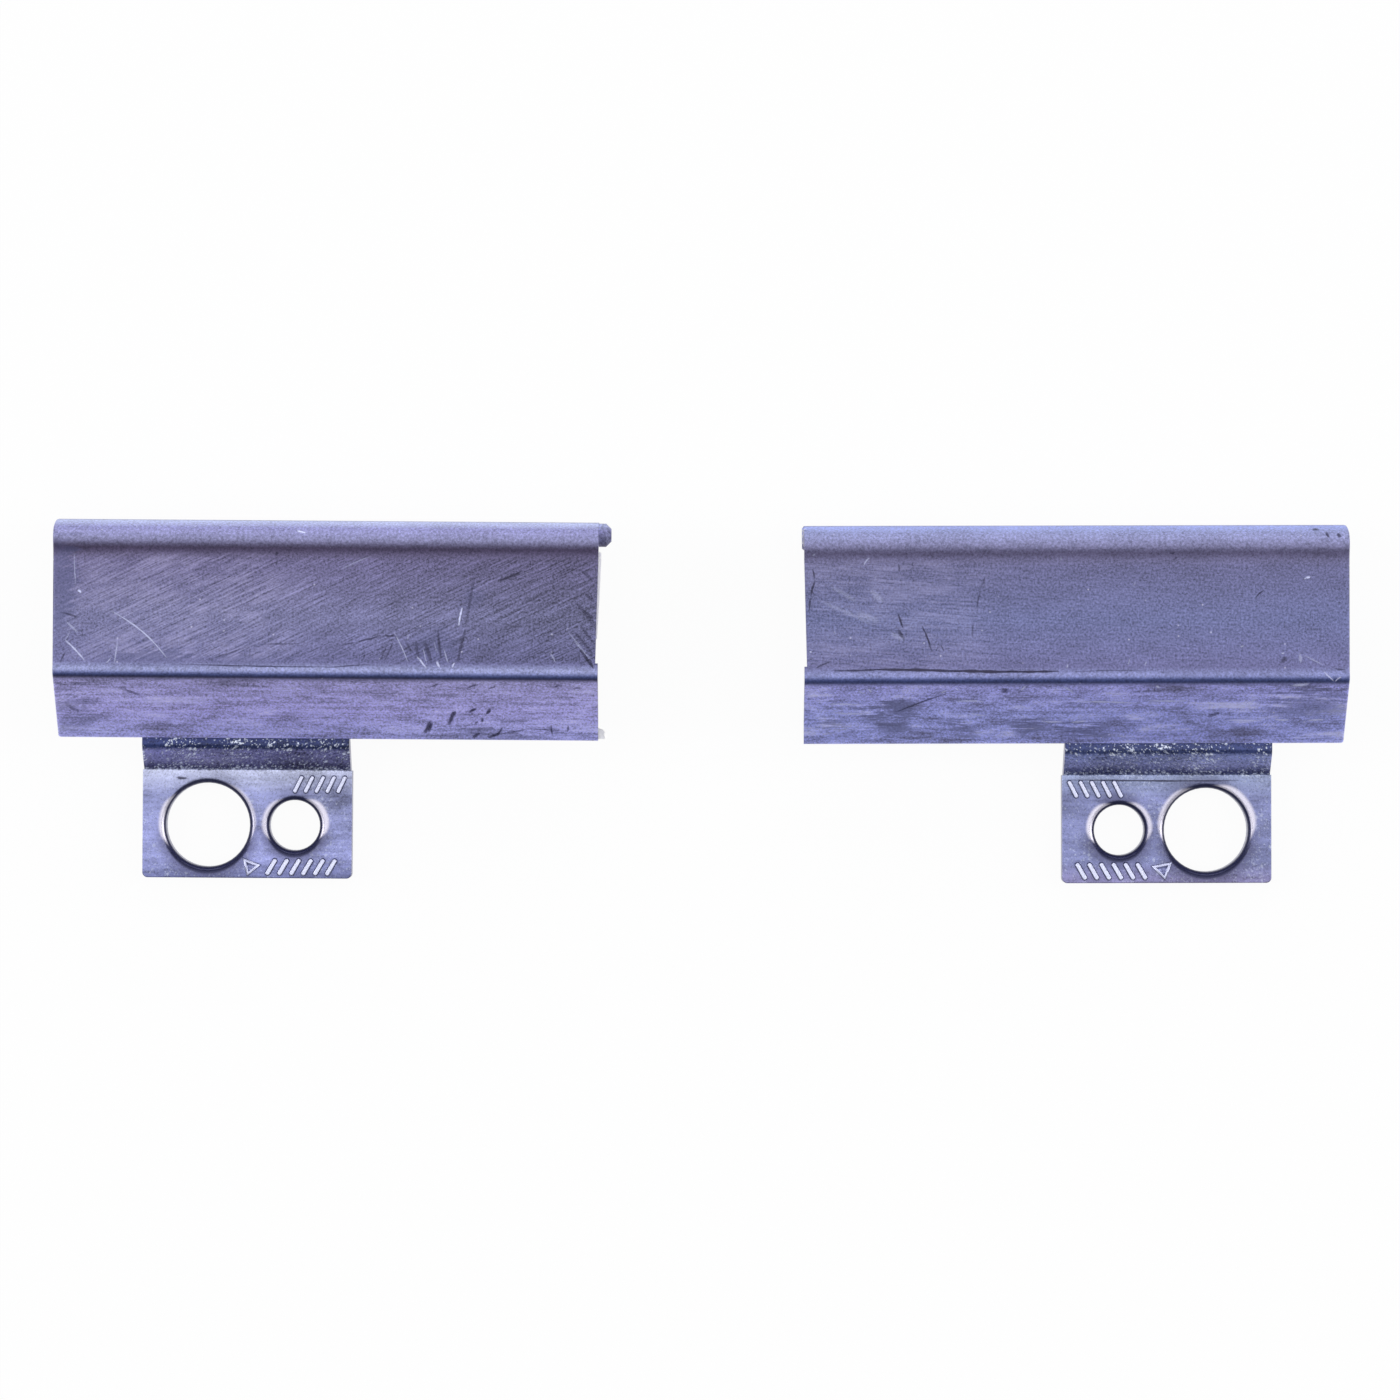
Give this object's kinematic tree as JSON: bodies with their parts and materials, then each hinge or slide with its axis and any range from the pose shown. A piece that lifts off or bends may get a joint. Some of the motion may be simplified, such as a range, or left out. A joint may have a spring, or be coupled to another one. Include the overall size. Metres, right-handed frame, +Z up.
{
  "type": "laptop hinge cover pair",
  "caption": "Left and right moulded laptop hinge covers: a beaded, bent shell open below and at its ends, with a stepped screw tab that has a boss hole and a pin hole.",
  "frame": {"origin": "centre of the pair's footprint, on the surface that the covers lie on", "axes": "+X along the covers, from the left one to the right one; +Y to the back, where the beads are; +Z up"},
  "size_m": [0.061, 0.0173, 0.0062],
  "materials": {
    "cover_paint": "worn metallic violet-grey paint on moulded plastic"
  },
  "bodies": {
    "root": {"left_cover": "cover_paint", "right_cover": "cover_paint"}
  },
  "joints": []
}
